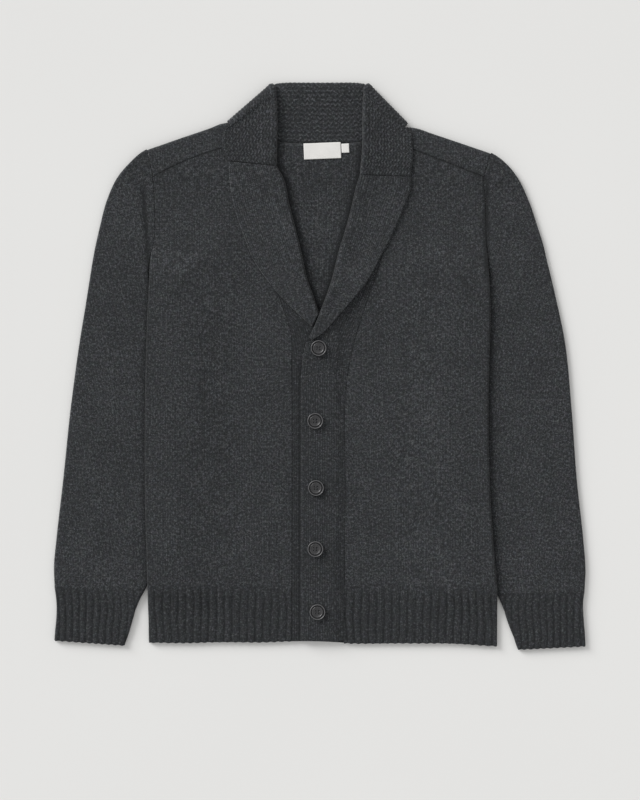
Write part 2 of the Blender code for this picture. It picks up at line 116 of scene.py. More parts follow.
class Finish:
    """A material and its node tree; node() takes a type, its settings and its sockets' values."""
    def __init__(self, name):
        self.material = bpy.data.materials.new(name)
        self.material.use_nodes = True
        self.tree = self.material.node_tree
        self.shader = self.tree.nodes["Principled BSDF"]

    def node(self, kind, settings=None, out=0, **values):
        made = self.tree.nodes.new(kind)
        for key, value in (settings or {}).items():
            if key == "stops":
                stops = made.color_ramp.elements
                for number, (position, colour) in enumerate(value):
                    stop = stops[number] if number < len(stops) else stops.new(position)
                    stop.position, stop.color = position, (*colour, 1)
            else:
                setattr(made, key, value)
        for key, value in values.items():
            self.plug(made.inputs[key.replace("_", " ")], value)
        return Sock(self.tree, made.outputs[out])

    def plug(self, socket, value):
        if isinstance(value, Sock):
            self.tree.links.new(value.socket, socket)
        else:
            socket.default_value = value

    def axes(self, vector):
        split = self.tree.nodes.new("ShaderNodeSeparateXYZ")
        self.tree.links.new(vector.socket, split.inputs[0])
        return [Sock(self.tree, socket) for socket in split.outputs]

    def clothPlace(self):
        """Place along and across the knit, in metres, from the piece's own map."""
        return self.node("ShaderNodeUVMap", {"uv_map": "knit"})

    def seamsAndPaintedShade(self):
        """Darkness of the seams and painted shade, 0 to 1, from the piece's own attribute."""
        return self.node("ShaderNodeAttribute", {"attribute_name": "seamsAndPaintedShade"}, out=2)

    def objectPlace(self):
        return self.node("ShaderNodeTexCoord", out=3)

    def noise(self, place, scale, detail=2.0, roughness=0.5, out=0):
        return self.node("ShaderNodeTexNoise", out=out, Vector=place, Scale=scale, Detail=detail,
                         Roughness=roughness)

    def mix(self, factor, a, b, blend="MIX"):
        made = self.tree.nodes.new("ShaderNodeMix")
        made.data_type, made.blend_type = "RGBA", blend
        for socket, value in zip((made.inputs[0], made.inputs[6], made.inputs[7]), (factor, a, b)):
            self.plug(socket, value if isinstance(value, (Sock, float)) else (*value, 1))
        return Sock(self.tree, made.outputs[2])

    def done(self, colour, roughness, bump, distance, strength):
        normal = self.node("ShaderNodeBump", Height=bump, Distance=distance, Strength=strength)
        self.plug(self.shader.inputs["Base Color"], colour)
        self.plug(self.shader.inputs["Roughness"], roughness)
        self.plug(self.shader.inputs["Normal"], normal)
        return self.material


# Colours of the yarn, sizes of the stitches in metres, noises in waves a metre, and how much each of
# them adds to the shade, including the painted shade in the ribs' valleys and the painted shade and seams
# each piece carries.
wool = {
    "dark": (0.0088, 0.0098, 0.0108), "middle": (0.0212, 0.0230, 0.0251), "light": (0.082, 0.0865, 0.0925),
    "wale": 0.0023, "course": 0.0017, "valleyTop": 0.303, "valleyGrow": 0.016,
    "fibre": 640.0, "strand": 310.0, "cloud": 34.0, "broad": 9.0, "tint": 150.0,
    "contrast": 4.4, "speckle": 0.80, "stitch": 0.46, "zigStitch": 0.37, "cloudy": 0.22, "uneven": 0.12,
    "paler": 0.01, "ribValleyShade": 0.36, "seamsAndPaintedShade": 0.55, "tinted": 0.10}


def woolFinish(name, shade, pattern):
    """Melange yarn: dark wool with paler and tinted fibres, knitted into rows of small Vs.

    The V is course + |wale|, a cosine along it; the zigzag is rows whose place swings with the wale.
    """
    look = Finish(name)
    place, solid = look.clothPlace(), look.objectPlace()
    across, along = look.axes(place)[:2]
    wander = look.noise(place, 60.0, 1.0) - 0.5
    wale = (across + wander * 0.0006) / wool["wale"]
    course = (along + wander * 0.0008) / wool["course"]
    leg = (wale.frac() - 0.5).abs() * 2
    stitch = (course + leg * 0.8).swell() * 0.4 + (1 - leg.power(3.0)) * 0.6
    height, ribValleyShade, stitchShare = stitch, 0.0, wool["stitch"]
    if pattern == "zigzag":
        swing = ((across / (zigzag["wide"] * mm)).frac() - 0.5).abs() * 2
        rows = (along / (zigzag["row"] * mm) + swing * zigzag["swing"] + wander * 0.25).swell()
        height, stitchShare = rows * 0.75 + stitch * 0.4, wool["zigStitch"]
    if pattern == "fine rib":
        height = (across / (ribs["band"] * mm)).swell() * 0.42 + stitch * 0.5
    if pattern == "rib":
        start = ((along * -1 - wool["valleyTop"]) / wool["valleyGrow"]).clamp()
        ridge = ((across + wander * 0.0022) / (ribs["hem"] * mm)).ridge()
        # The ribs' valleys get painted shade, which fades in below the seam.
        height, ribValleyShade = stitch * 0.7, (1 - ridge).power(2.6) * start
    fibre = look.noise(solid, wool["fibre"], 3.0, 0.7)
    strand = look.noise(solid, wool["strand"], 2.0, 0.6)
    cloud = look.noise(solid, wool["cloud"], 3.0, 0.55)
    broad = look.noise(solid, wool["broad"], 2.0, 0.5)
    tint = look.noise(solid, wool["tint"], 2.0, 0.5, out=1)
    speckle = ((fibre * 0.56 + strand * 0.44) - 0.5) * wool["contrast"] + 0.5
    value = speckle * wool["speckle"] + (height - 0.5) * stitchShare + (cloud - 0.5) * wool["cloudy"]
    value = value + (broad - 0.5) * wool["uneven"] + (shade + wool["paler"])
    # Painted shade: darker in the ribs' valleys, and by the piece's own attribute, which also holds the dark
    # seams.
    value = value - ribValleyShade * wool["ribValleyShade"] - look.seamsAndPaintedShade() * wool["seamsAndPaintedShade"]
    stops = ((0.0, wool["dark"]), (0.5, wool["middle"]), (1.0, wool["light"]))
    colour = look.node("ShaderNodeValToRGB", {"stops": stops}, Fac=value)
    colour = look.mix(wool["tinted"], colour, tint, "OVERLAY")
    bump = height * 0.7 + fibre * 0.35 + strand * 0.25
    look.shader.inputs["Sheen Weight"].default_value = 0.12
    look.shader.inputs["Sheen Roughness"].default_value = 0.6
    look.shader.inputs["Specular IOR Level"].default_value = 0.15
    return look.done(colour, 0.95 - fibre * 0.1, bump, 0.0007, 0.55)


def buttonFinish():
    """Dark grey moulded button, cloudy inside, with painted shade black in its pits and a paler painted
    highlight along its rims.
    """
    look = Finish("dark grey button")
    solid = look.objectPlace()
    cloud = look.noise(solid, 260.0, 3.0, 0.6)
    fine = look.noise(solid, 1900.0, 2.0, 0.5)
    stops = ((0.3, (0.022, 0.022, 0.024)), (0.72, (0.062, 0.061, 0.063)))
    colour = look.node("ShaderNodeValToRGB", {"stops": stops}, Fac=cloud)
    # Painted shade near black where the button sinks, and a painted highlight on its raised rims.
    colour = look.mix(look.seamsAndPaintedShade(), colour, (0.006, 0.006, 0.007))
    colour = look.mix((look.seamsAndPaintedShade() * -8 + 1).clamp() * 0.55, colour, (0.135, 0.135, 0.138))
    look.shader.inputs["Specular IOR Level"].default_value = 0.6
    return look.done(colour, cloud * 0.16 + 0.27, fine, 0.0001, 0.25)


def threadFinish():
    look = Finish("button thread")
    fine = look.noise(look.objectPlace(), 2600.0, 2.0, 0.6)
    colour = look.mix(fine, (0.016, 0.017, 0.019), (0.060, 0.061, 0.064))
    return look.done(colour, 0.85 - fine * 0.05, fine, 0.0002, 0.6)


def labelFinish(name, pale):
    """White woven tape: warp and weft as two crossed cosines, a little paler where they lift."""
    look = Finish(name)
    across, along = look.axes(look.clothPlace())[:2]
    warp, weft = (across / 0.00042).swell(), (along / 0.00036).swell()
    weave = warp * 0.5 + weft * 0.5
    soft = look.noise(look.objectPlace(), 220.0, 3.0, 0.6)
    colour = look.mix(weave * 0.6 + soft * 0.4, tuple(c * 0.90 for c in pale), pale)
    return look.done(colour, 0.82 - weave * 0.05, weave, 0.0002, 0.5)


print("making the finishes")
plainKnit = woolFinish("charcoal plain knit", 0.0, "plain")
paleKnit = woolFinish("charcoal lapel knit", 0.01, "plain")
ribKnit = woolFinish("charcoal rib", 0.02, "rib")
bandKnit = woolFinish("charcoal fine rib", -0.015, "fine rib")
# A darker copy of the fine rib for the band beneath: painted shade.
shadedBandKnit = woolFinish("charcoal fine rib with painted shade", -0.09, "fine rib")
zigKnit = woolFinish("charcoal zigzag knit", -0.035, "zigzag")
buttonShell, sewingThread = buttonFinish(), threadFinish()
labelTape = labelFinish("white label tape", (0.80, 0.785, 0.76))


def ramp(value, start, end):
    return np.clip((np.asarray(value, float) - start) / (end - start), 0, 1)


def ease(value, start, end):
    t = ramp(value, start, end)
    return t * t * (3 - 2 * t)


def bell(distance, width):
    return np.exp(-(distance / width) ** 2)


def placeOf(grid):
    """Views of a grid's x and y, which follow when the grid changes."""
    return grid[..., 0], grid[..., 1]


def hermite(knots, values, at):
    """Smooth curve through values at knots: cubic pieces whose slopes come from the neighbours."""
    knots, values, at = np.asarray(knots, float), np.asarray(values, float), np.asarray(at, float)
    slope = np.gradient(values, knots, axis=0)
    i = np.clip(np.searchsorted(knots, at, side="right") - 1, 0, len(knots) - 2)
    width = knots[i + 1] - knots[i]
    t = np.clip((at - knots[i]) / width, 0, 1)
    extra = (1,) * (values.ndim - 1)
    t, width = t.reshape(t.shape + extra), width.reshape(width.shape + extra)
    a, b, m, n = values[i], values[i + 1], slope[i] * width, slope[i + 1] * width
    return (a * (1 + 2 * t) * (1 - t) ** 2 + m * t * (1 - t) ** 2
            + b * t * t * (3 - 2 * t) + n * t * t * (t - 1))


def along(table, value):
    """Second column of a table, smoothly, at a value of its first."""
    rows = np.array(sorted(table), float)
    return hermite(rows[:, 0], rows[:, 1], np.clip(value, rows[0, 0], rows[-1, 0]))


def straight(table, value):
    rows = np.array(sorted(table), float)
    return np.interp(value, rows[:, 0], rows[:, 1])


def spread(length, step, fineStart=True, fineEnd=True):
    """Sample places along a length: even steps, crowded at an end whose edge is rounded."""
    crowd = np.array((0.0, 0.25, 0.7, 1.3, 2.1, 3.0))
    start = crowd if fineStart else np.array((0.0,))
    end = length - (crowd[::-1] if fineEnd else np.array((0.0,)))
    count = max(2, int(round((end[0] - start[-1]) / step)) + 1)
    return np.concatenate([start[:-1], np.linspace(start[-1], end[0], count), end[1:]])


def lengths(grid, axis):
    """Mean distance along a grid's rows (axis 0) or columns (axis 1), from 0."""
    step = np.linalg.norm(np.diff(grid, axis=axis), axis=2).mean(axis=1 - axis)
    return np.concatenate([[0.0], np.cumsum(step)])


def runOf(table):
    """Distance along a table's rows, from 0, by its first two columns."""
    return np.concatenate([[0.0], np.cumsum(np.hypot(np.diff(table[:, 0]), np.diff(table[:, 1])))])


def refine(coarse, step):
    """A fine grid on the smooth surface through a coarse one: curves along, then across."""
    down = lengths(coarse, 0)
    grid = hermite(down, coarse, spread(down[-1], step))
    over = lengths(grid, 1)
    return hermite(over, grid.transpose(1, 0, 2), spread(over[-1], step)).transpose(1, 0, 2)


# Share of the thickness left at an edge, how dark a seam shows, and how far in both reach.
edgeShape = {"left": {"free": 0.12, "seam": 0.72, "line": 0.72}, "reach": 2.2,
             "dark": {"free": 0.0, "seam": 0.225, "line": 0.75}, "darkReach": 1.1}


def edgeRound(grid, kinds):
    """Half thickness and darkness near the edges: the thickness closes like a quarter ellipse.

    kinds are those of the first row, last row, first column and last column: free, seam, line for a
    seam that shows as a dark line, or join where the knit goes on.
    """
    down, over = np.meshgrid(lengths(grid, 0), lengths(grid, 1), indexing="ij")
    half, dark = np.full(grid.shape[:2], halfWall), np.zeros(grid.shape[:2])
    for kind, depth in zip(kinds, (down, down[-1:] - down, over, over[:, -1:] - over)):
        if kind != "join":
            left = edgeShape["left"][kind]
            t = np.clip(depth / edgeShape["reach"], 0, 1)
            half *= left + (1 - left) * np.sqrt(np.clip(1 - (1 - t) ** 2, 0, 1))
            dark = np.maximum(dark, edgeShape["dark"][kind] * bell(depth, edgeShape["darkReach"]))
    return half, dark


def patch(grid, kinds, relief=0.0, under=0.0, uv=None, seamsAndPaintedShade=0.0):
    """A stretch of knit: its middle surface, half thickness each way and place in the knit."""
    half, dark = edgeRound(grid, kinds)
    fade = np.clip(half / halfWall, 0, 1)
    return {"points": grid, "top": half + relief * fade, "bottom": half + under * fade,
            "uv": grid[..., :2] if uv is None else uv, "seamsAndPaintedShade": np.maximum(seamsAndPaintedShade, dark)}


def linked(name, data):
    """A new object in the scene."""
    made = bpy.data.objects.new(name, data)
    bpy.context.scene.collection.objects.link(made)
    return made


def setSeamsAndPaintedShade(mesh, values):
    """The value that the finishes read: dark seams and painted shade on the knit, painted shade and
    highlight on the buttons.
    """
    mesh.attributes.new("seamsAndPaintedShade", "FLOAT", "POINT").data.foreach_set("value", values.astype(np.float32))


def meshObject(name, points, faces, loopUv, seamsAndPaintedShade):
    """An object from points in millimetres, four-cornered faces, and the knit's own two values."""
    mesh = bpy.data.meshes.new(name)
    mesh.vertices.add(len(points))
    mesh.vertices.foreach_set("co", (points * mm).astype(np.float32).ravel())
    mesh.loops.add(faces.size)
    mesh.loops.foreach_set("vertex_index", faces.astype(np.int32).ravel())
    mesh.polygons.add(len(faces))
    mesh.polygons.foreach_set("loop_start", np.arange(0, faces.size, faces.shape[1], dtype=np.int32))
    mesh.polygons.foreach_set("use_smooth", np.ones(len(faces), bool))
    layer = mesh.uv_layers.new(name="knit")
    layer.data.foreach_set("uv", (loopUv * mm).astype(np.float32).ravel())
    setSeamsAndPaintedShade(mesh, seamsAndPaintedShade)
    mesh.update(calc_edges=True)
    mesh.validate()
    return linked(name, mesh)


def knitMesh(name, patches, facing=None):
    """Closed wall of uneven thickness on patches that join where their points meet.

    Points move along the surface's own normal, up by top and down by bottom; an edge that only one
    face uses gets a rim.
    """
    points, uv = (np.concatenate([p[key].reshape(-1, size) for p in patches])
                  for key, size in (("points", 3), ("uv", 2)))
    top, bottom, seamsAndPaintedShade = (np.concatenate([p[key].ravel() for p in patches])
                            for key in ("top", "bottom", "seamsAndPaintedShade"))
    quads, start = [], 0
    for p in patches:
        m, n = p["points"].shape[:2]
        index = np.arange(m * n).reshape(m, n) + start
        quads.append(np.stack([index[:-1, :-1], index[:-1, 1:], index[1:, 1:], index[1:, :-1]],
                              -1).reshape(-1, 4))
        start += m * n
    loose = np.concatenate(quads)
    _, first, same = np.unique(np.round(points, 3), axis=0, return_index=True, return_inverse=True)
    points, top, bottom, seamsAndPaintedShade = points[first], top[first], bottom[first], seamsAndPaintedShade[first]
    faces = same.reshape(-1)[loose]
    diagonal = np.cross(points[faces[:, 2]] - points[faces[:, 0]],
                        points[faces[:, 3]] - points[faces[:, 1]])
    normal = np.zeros_like(points)
    for corner in range(4):
        np.add.at(normal, faces[:, corner], diagonal)
    normal /= np.linalg.norm(normal, axis=1, keepdims=True) + 1e-12
    if facing is None:      # the outside of a folded piece: its upper layer faces up, its lower one down
        side = ((points[:, 2] - points[:, 2].mean()) * normal[:, 2]).sum()
    else:
        side = (normal @ np.array(facing, float)).sum()
    if side < 0:
        normal = -normal
        faces, loose = faces[:, ::-1], loose[:, ::-1]
    count = len(points)
    edges = np.stack([faces, np.roll(faces, -1, 1)], -1).reshape(-1, 2)
    ends = np.stack([loose, np.roll(loose, -1, 1)], -1).reshape(-1, 2)
    key, back = edges[:, 0] * count + edges[:, 1], edges[:, 1] * count + edges[:, 0]
    rim = ~np.isin(key, back)
    a, b = edges[rim].T
    rims = np.stack([b, a, a + count, b + count], -1)
    rimUv = uv[ends[rim][:, (1, 0, 0, 1)]]
    everything = np.concatenate([faces, faces[:, ::-1] + count, rims])
    loopUv = np.concatenate([uv[loose].reshape(-1, 2), uv[loose[:, ::-1]].reshape(-1, 2),
                             rimUv.reshape(-1, 2)])
    moved = np.concatenate([points + normal * top[:, None], points - normal * bottom[:, None]])
    return meshObject(name, moved, everything, loopUv, np.concatenate([seamsAndPaintedShade, seamsAndPaintedShade]))


def surfaceArea(grid):
    """Square metres of a grid of points in millimetres, from its quads' diagonals."""
    cross = np.cross(grid[1:, 1:] - grid[:-1, :-1], grid[1:, :-1] - grid[:-1, 1:])
    return float(np.linalg.norm(cross, axis=2).sum() / 2) * mm * mm


def dress(piece, material, node):
    """Material, body, slot and the solid that the piece replaces."""
    piece.data.materials.append(material)
    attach(piece, "root")
    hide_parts(node)
    print(f"  {piece.name}: {len(piece.data.polygons)} faces")


def knitPiece(name, patches, material, facing=None, node=None):
    """A finished piece of knit, whose cut is measured on its own middle surface."""
    piece = knitMesh(name, patches, facing)
    dress(piece, material, node or name.replace("-", "_"))
    area = sum(surfaceArea(p["points"]) for p in patches)


# The body's outline: y and distance from the centre line, or the other way round for the shoulder,
# back neck and hem. The pairs named lift are where a layer starts and ends its rise.
body = {
    "hemTop": -301.0, "foot": -380.0, "underarm": 150.0,
    "neckRise": (220.0, 296.0),         # the collar's fall lies below the back from here up
    "liftIn": (140.0, 41.0),            # the sleeve tucked below lifts the side by two layers
    "liftTop": (182.0, 108.0), "liftHem": (-347.0, -305.0), "backEven": (150.0, 200.0),
    # painted shade on the side edges where they roll over the sleeves, from here down
    "rollShadeEnd": (152.0, 120.0),          # the side edges roll over the sleeves from here down
    "sideEdge": {
        "right": ((-382, 235.5), (-301, 236.8), (-180, 240), (0, 239), (75, 236.5), (115, 234.3),
                  (150, 232.6), (165, 229.5), (190, 227), (229, 228), (260, 230), (294.5, 236.6)),
        "left": ((-386, 243.2), (-301, 242.6), (-250, 238.4), (-180, 233.8), (-90, 231.3), (0, 232),
                 (75, 233.8), (115, 232.4), (150, 230.3), (165, 229.4), (190, 228.9), (229, 228),
                 (260, 226), (289.5, 234))},
    "frontSeam": {
        "right": ((-380, 38.6), (0, 38.6), (43, 39.5), (75, 48.8), (97, 56.6), (150, 76), (190, 90.5),
                  (229, 98.3), (255, 105), (277, 112), (290, 113.5), (304, 115)),
        "left": ((-380, 33), (-180, 35), (0, 40.3), (43, 50.2), (75, 60.3), (97, 67.5), (150, 84.7),
                 (190, 95), (229, 102), (245, 104.5), (262, 107.5), (283, 112), (303, 113.5))},
    "shoulderFold": {
        "right": ((236.6, 294.5), (185, 312.4), (150, 324.4), (133.9, 330.6), (113.2, 331)),
        "left": ((234.0, 289.5), (185, 306.2), (150, 318.0), (133.5, 323.7), (113.0, 325))},
    "shoulderSeam": {"right": (260, 304, 5.0), "left": (260, 303, 0.0)},   # armhole, neck, bow
    "backNeck": ((0, 306), (30, 306.6), (58, 309.2), (82, 316)),
    "hemLow": ((-235, -381.5), (-110, -380.6), (0, -379.8), (60, -382.6), (140, -381.6), (243, -385.6)),
}

# Soft ridges of cloth, or troughs where the height is negative: middle x and y, the way it runs in
# degrees, half length, half width and height.
creases = {
    "front": ((227, 208, 90, 62, 4.5, -1.0), (-230.5, 205, 90, 60, 3.0, 0.5), (-150, 60, 78, 150, 26, 0.9),
              (-185, 128, 52, 46, 9, 1.1), (-168, 140, 40, 40, 8, 0.8), (150, 30, 100, 160, 28, 0.9),
              (188, 126, 128, 44, 9, 1.2), (170, 142, 142, 38, 8, 0.8), (-95, -140, 84, 120, 22, 0.7),
              (105, -150, 96, 130, 24, 0.7), (-200, -230, 80, 60, 12, 0.8), (205, -215, 100, 66, 12, 0.9),
              (-120, -270, 10, 70, 12, 0.5), (120, -265, 172, 66, 12, 0.5), (70, -20, 95, 90, 16, 0.5),
              (-75, 10, 88, 80, 15, 0.5)),
    "sleeve": ((-239.9, 200, 94, 60, 3.2, -1.3), (230, 208, 90, 62, 4.5, -1.0), (246, 256, 40, 22, 5.5, 1.9),
               (-262, 250, 128, 26, 8, 0.9), (-268, 120, 100, 60, 12, 1.0), (272, 112, 78, 60, 12, 1.0),
               (-285, 20, 96, 80, 13, 0.9), (292, 10, 84, 80, 13, 0.9), (-300, -95, 70, 44, 10, 0.8),
               (300, -110, 112, 44, 10, 0.8), (-310, -190, 98, 66, 14, 0.9), (312, -180, 82, 66, 14, 0.9),
               (-320, -262, 60, 34, 9, 0.9), (322, -256, 122, 34, 9, 0.9), (-262, 178, 118, 30, 8, 0.9),
               (258, 186, 60, 30, 8, 0.9)),
    "back": ((-110, 60, 82, 160, 30, 0.4), (120, 20, 98, 160, 30, 0.4), (0, -150, 90, 140, 34, 0.3)),
}


def creaseHeight(table, x, y):
    """Sum of ridges: a bell across each, which bends a little, and a flatter bell along it."""
    height = np.zeros_like(x)
    for midX, midY, degrees, half, width, rise in table:
        c, s = math.cos(math.radians(degrees)), math.sin(math.radians(degrees))
        run, off = (x - midX) * c + (y - midY) * s, -(x - midX) * s + (y - midY) * c
        bend = off - 0.06 * half * (run / half) ** 2
        height += rise * bell(bend, width) * bell((run / half) ** 2, 1)
    return height


# Painted shade along the soft valleys beside the armholes: x at y 200, lean, low and high end, width and
# depth of shade.
valleys = {"sleeve": ((-239.9, -0.071, 112, 262, 2.6, 0.95), (229.5, 0.0, 108, 272, 3.0, 0.95)),
           "front": ((228.5, 0.0, 108, 272, 3.0, 0.95),)}


def valleyShade(table, x, y):
    """Painted shade along the valleys: a bell across each, faded at both ends."""
    shade = np.zeros_like(x)
    for place, lean, low, high, width, depth in table:
        ends = ease(y, low, low + 30) * ease(y, high, high - 30)
        shade = np.maximum(shade, depth * bell(x - place - lean * (y - 200), width) * ends)
    return shade


# Painted shade on the knit where another piece or a fold shades it: how dark, and over what distance.
paintedShades = {"rolledSide": (0.5, 2.6), "insideNeck": (0.8, 5.0), "bandEdge": (0.5, 2.0),
          "collarRoll": (1.0, 5.0), "tuckedSleeve": (0.58, 6.0)}


def paintedShadeNear(place, distance):
    dark, reach = paintedShades[place]
    return dark * bell(distance, reach)


def level(layer, lift=0.0):
    """Height of the middle of a layer of knit, 0 for the back and 1 for the front, and of its lift."""
    return halfWall + pitch * (layer + lift)


def neckLift(y):
    return ease(y, *body["neckRise"])


def bodyLift(side, distance, y):
    depth = along(body["sideEdge"][side], y) - distance
    rise = ease(depth, *body["liftIn"]) * ease(y, *body["liftTop"]) * ease(y, *body["liftHem"])
    return 2 * rise + neckLift(y)


def belowUnderarm(y):
    return ease(y, body["underarm"] + 20, body["underarm"] - 12)


def edgeDrop(depth):
    """How far the middle of the knit turns towards the other layer at a side edge: a quarter round."""
    reach = foldRadius + 1.2
    t = np.clip(1 - depth / reach, 0, 1)
    return 0.55 * reach * (1 - np.sqrt(np.clip(1 - t * t, 0, 1)))


def mirrored(side, grid):
    """Distances from the centre line turned to their own side."""
    grid = grid.copy()
    grid[..., 0] *= sides[side]
    return grid


def sideGrid(side, layer, ySide, yInner, xInner, bow=0.0, step=3.2):
    """Fine grid between the side edge and an inner line, whose rows lean from ySide to yInner.

    x runs evenly from the edge to the inner line; the height is the layer's plus the lift, less the
    turn of the side edge below the underarm.
    """
    edge = along(body["sideEdge"][side], ySide) - gapHalf
    width = float(np.mean(edge - xInner))
    w = spread(width, step) / width
    x = edge[:, None] + (xInner - edge)[:, None] * w
    y = ySide[:, None] + (yInner - ySide)[:, None] * w + (4 * w * (1 - w)) * np.asarray(bow)[..., None]
    z = level(layer, bodyLift(side, x, np.where(y > body["underarm"], y, ySide[:, None])))
    z += (1 - 2 * layer) * edgeDrop(edge[:, None] - x) * belowUnderarm(ySide)[:, None]
    return np.stack([x, y, z], -1)


def ribPhase(across, down, width):
    """Place across counted in ribs, which wander a little down their length."""
    wander = 0.11 * np.sin(down / 27.0 + across / 39.0) + 0.07 * np.sin(down / 11.0 + across / 19.0)
    return across / width + wander


def ribRise(across, down, width, rise):
    """Ribs: rounded ridges with narrow valleys, |cos| of the phase to a power, of uneven height."""
    ridge = np.abs(np.cos(np.pi * ribPhase(across, down, width))) ** 0.6
    uneven = 0.82 + 0.18 * np.sin(across / 29.0 + down / 60.0)
    return rise * uneven * (ridge - 0.70)


def grownRibs(across, down, width, seam):
    """Ribs that grow out of the plain knit below the seam."""
    return ribRise(across, down, width, ribs["rise"]) * ramp(down, seam, seam - 14.0)


def scallop(across, down, width):
    """The ribs' lower ends reach further down than the valleys between them."""
    return ribs["scallop"] * np.cos(2 * np.pi * ribPhase(across, down, width))


def ribPlace(across, down, width):
    """Place in the knit whose ribs all measure the hem's width, for the finish's valleys."""
    return np.stack([ribPhase(across, down, width) * ribs["hem"], down + 0 * across], -1)


def zigRise(u, v):
    """Relief of the collar's knit: rows across v that swing up and down along u."""
    swing = np.abs((u / zigzag["wide"]) % 1 - 0.5) * 2
    return zigzag["rise"] * np.cos(2 * np.pi * (v / zigzag["row"] + swing * zigzag["swing"]))


def hemGrid(side, layer, stepDown, stepAcross):
    """A side of the hem, to the front's seam or the back's middle, and the share of each row's height."""
    tall = body["hemTop"] - body["foot"]
    v = spread(tall, stepDown) / tall
    y = body["foot"] + (tall - joinGap) * v
    inner = along(body["frontSeam"][side], y) + gapHalf if layer else np.zeros(len(v))
    grid = mirrored(side, sideGrid(side, layer, y, y, inner, step=stepAcross))
    grid[..., 1] += (along(body["hemLow"], grid[..., 0]) - body["foot"]) * (1 - v[:, None])
    return grid, v


print("making the body")
for side in sides:
    ySeam, yNeck, bow = body["shoulderSeam"][side]
    low = body["hemTop"] + joinGap
    v = spread(ySeam - body["hemTop"], 3.6) / (ySeam - body["hemTop"])
    ySide, yInner = low + (ySeam - low) * v, low + (yNeck - low) * v
    seam = along(body["frontSeam"][side], yInner) + gapHalf
    grid = mirrored(side, sideGrid(side, 1, ySide, yInner, seam, bow * v ** 4))
    x, y = placeOf(grid)
    grid[..., 2] += creaseHeight(creases["front"], x, y)
    # Painted shade along the side edges that roll over the sleeves, and in the valleys beside the armholes.
    inside = along(body["sideEdge"][side], y) - np.abs(x)
    rolledSideShade = paintedShadeNear("rolledSide", inside) * ease(y, *body["rollShadeEnd"])
    part = patch(grid, ("join", "line", "free", "seam"),
                 seamsAndPaintedShade=np.maximum(rolledSideShade, valleyShade(valleys["front"], x, y)))
    knitPiece(f"front-{side}", [part], plainKnit, facingUp)

    grid, v = hemGrid(side, 1, 3.2, 1.25)
    x, y = placeOf(grid)
    wave = scallop(x, y, ribs["hem"]) + 0.5 * np.sin(x / 17.0)
    grid[..., 1] -= wave * ramp(v, 0.12, 0)[:, None]
    part = patch(grid, ("free", "join", "free", "seam"), grownRibs(x, y, ribs["hem"], body["hemTop"]),
                 uv=ribPlace(x, y, ribs["hem"]))
    knitPiece(f"hem-rib-{side}", [part], ribKnit, facingUp)

# Lapel rows, front to shoulder: distance and y of the roll, distance and y of the outer edge. The left
# lapel starts a layer higher, between the two heights of raise, because both bands lie below it.
lapel = {
    "rows": {
        "right": ((1.4, 72.4, 10.9, 53.8), (8.6, 95, 40, 81), (17.3, 119, 62, 105),
                  (25.3, 155.5, 90, 143), (33.4, 188, 105.5, 180), (42.5, 224, 117, 215),
                  (49.7, 256.7, 124, 250), (59.6, 274.5, 125.6, 281)),
        "left": ((-15.5, 39.5, -10.6, 35.4), (-9.5, 51, 3, 44.6), (-0.2, 73.6, 26, 69.6),
                 (8.1, 95, 45, 91.5), (16.1, 119, 64, 115), (26.2, 159.5, 87, 157),
                 (34.4, 186, 101, 184), (42.5, 216, 114, 214), (50.6, 250, 125, 248),
                 (54.6, 262.2, 124.6, 260))},
    "raise": {"right": (0.0, 0.0), "left": (110.0, 150.0)}, "shadeFrom": (60.0, 90.0),
    "step": 2.6, "turnEnd": 1.0, "rollGrow": (12.0, 40.0), "rollRise": 0.9, "rollFade": 0.45}

# The back runs up to the neck and over the shoulders to the forward shoulder seams.
wraps = {"angles": 9, "step": 3.4}


def backTop(side):
    """The back's upper edge: neck, then the fold over the shoulder."""
    fold = body["shoulderFold"][side]
    return [*body["backNeck"], (100, fold[-1][1] - 4.6), *fold]


def shoulderWrap(side, start):
    """From the back's top row round a half turn and on to the shoulder seam.

    start is the row at the fold: it turns by angle, out by radius sin and up by radius cos, then
    goes straight to the seam, whose height is the front's.
    """
    (tipX, tipY), (neckX, neckY) = body["shoulderFold"][side][0], body["shoulderFold"][side][-2]
    reach = math.hypot(tipX - neckX, neckY - tipY)
    outX, outY = (neckY - tipY) / reach, (tipX - neckX) / reach
    angle = np.radians(np.linspace(0, 180, wraps["angles"]))[:, None]
    x, y, z = start[:, 0], start[:, 1], start[:, 2]
    turn = np.stack([x + outX * foldRadius * np.sin(angle), y + outY * foldRadius * np.sin(angle),
                     z + foldRadius * (1 - np.cos(angle))], -1)
    ySeam, yNeck, bow = body["shoulderSeam"][side]
    t = (x[0] - x) / (x[0] - x[-1])
    edge = along(body["sideEdge"][side], ySeam) - gapHalf
    seamX = edge + (along(body["frontSeam"][side], yNeck) + gapHalf - edge) * t
    seamY = ySeam + (yNeck - ySeam) * t + 4 * bow * t * (1 - t) + cloth["seamGap"]
    down = spread(float(np.mean(y - seamY)), wraps["step"], False, True)
    down = (down / down[-1])[1:, None]
    flatX, flatY = x + (seamX - x) * down, y + (seamY - y) * down
    flat = np.stack([flatX, flatY, level(1, neckLift(flatY))], -1)
    return np.concatenate([turn, flat])


